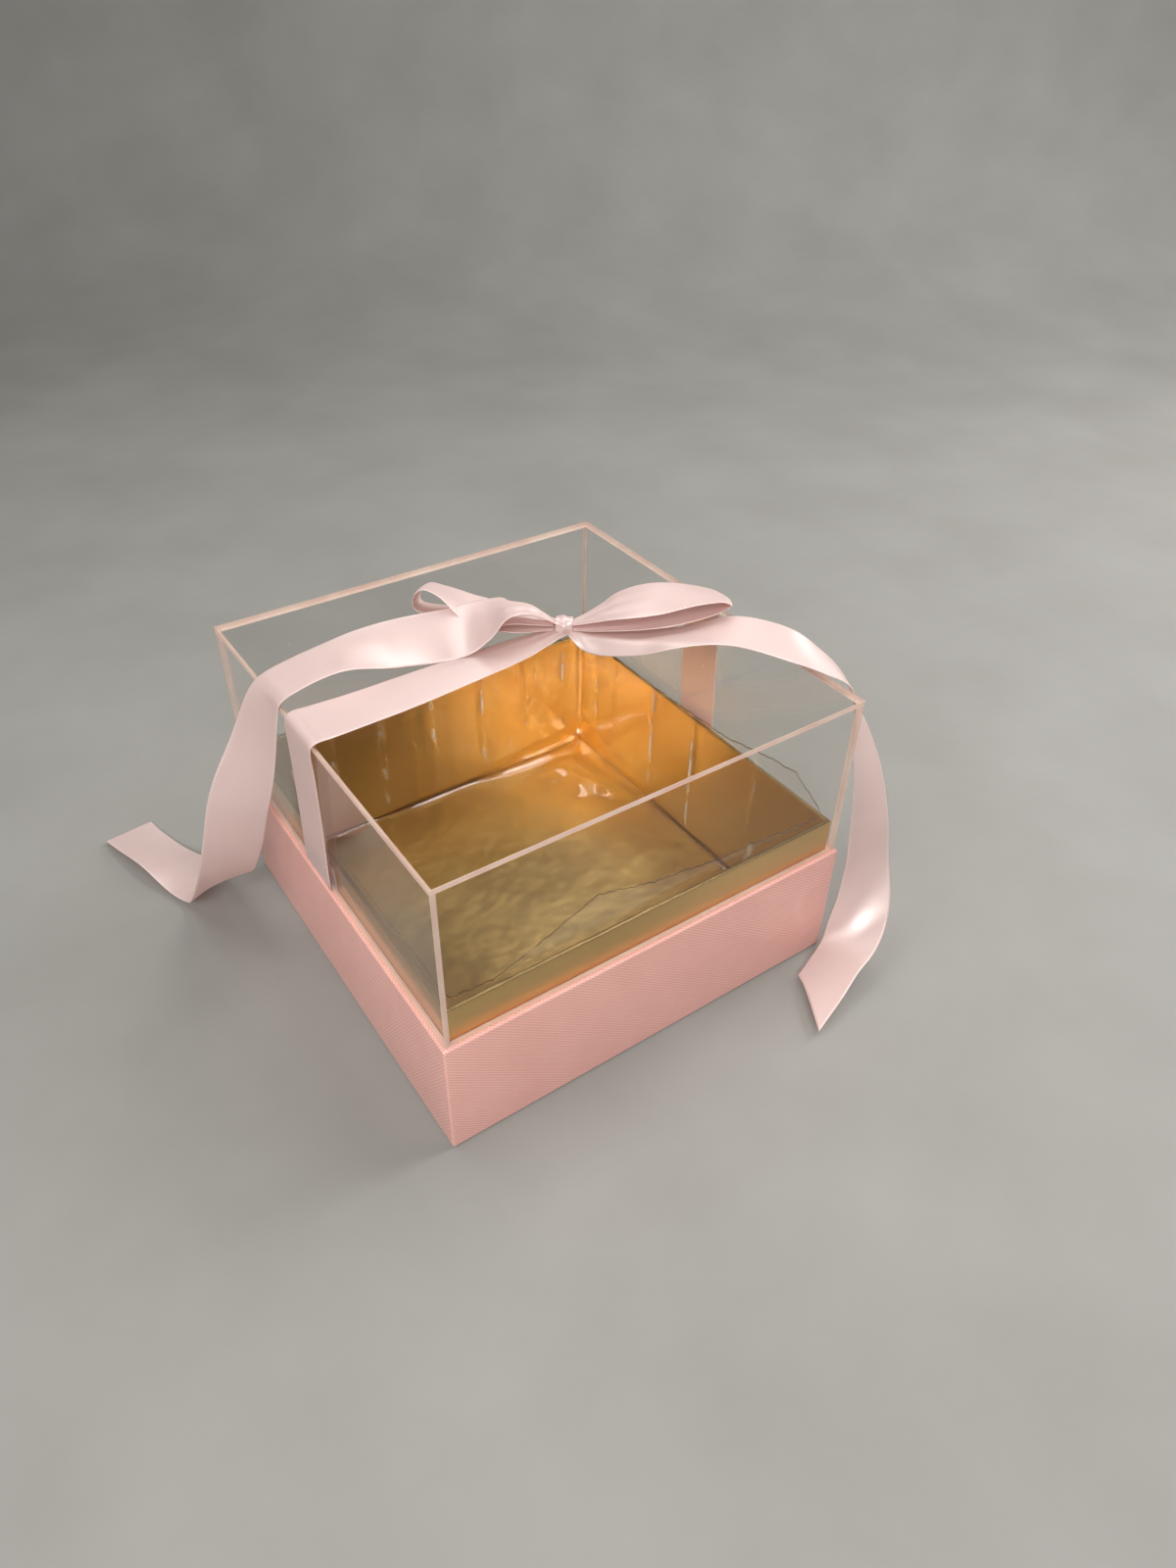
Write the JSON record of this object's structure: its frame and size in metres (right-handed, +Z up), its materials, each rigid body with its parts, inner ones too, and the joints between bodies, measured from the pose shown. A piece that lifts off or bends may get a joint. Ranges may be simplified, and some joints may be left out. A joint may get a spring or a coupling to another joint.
{
  "type": "flower gift box",
  "caption": "Square paper-wrapped gift box with a gold-lined neck, a clear lift-off acrylic lid and a satin ribbon tied in a bow over it.",
  "frame": {"origin": "centre of the tray's underside, on the table", "axes": "+Z up, +X to the right along the front edge, +Y from the front to the back, the knot's ribbon band runs along X"},
  "size_m": [0.2918, 0.3063, 0.1647],
  "materials": {
    "pink_paper": "embossed fine twill, matt",
    "plain_paper": "matt",
    "greyboard": "bare board",
    "gold_foil": "metallised gold foil, glossy",
    "clear_film": "clear, soft creases",
    "clear_acrylic": "clear, polished edges",
    "satin_ribbon": "satin weave"
  },
  "bodies": {
    "base": {"bottom_paper": "plain_paper", "floor_board": "greyboard", "front_wall_board": "greyboard", "right_wall_board": "greyboard", "back_wall_board": "greyboard", "left_wall_board": "greyboard", "corner_stay_1": "plain_paper", "corner_stay_2": "plain_paper", "corner_stay_3": "plain_paper", "corner_stay_4": "plain_paper", "wrap_paper": "pink_paper", "front_collar_board": "gold_foil", "right_collar_board": "gold_foil", "back_collar_board": "gold_foil", "left_collar_board": "gold_foil", "gold_floor_board": "gold_foil", "film_liner": "clear_film"},
    "lid": {"lid_top_panel": "clear_acrylic", "lid_front_panel": "clear_acrylic", "lid_back_panel": "clear_acrylic", "lid_left_panel": "clear_acrylic", "lid_right_panel": "clear_acrylic", "ribbon_band": "satin_ribbon", "bow_knot": "satin_ribbon", "bow_loop_left": "satin_ribbon", "bow_loop_right": "satin_ribbon", "bow_tail_left": "satin_ribbon", "bow_tail_right": "satin_ribbon"}
  },
  "joints": [
    {"name": "lid_lift", "type": "slide", "parent": "base", "child": "lid", "axis": [0, 0, 1], "range_m": [0, 0.15]}
  ]
}
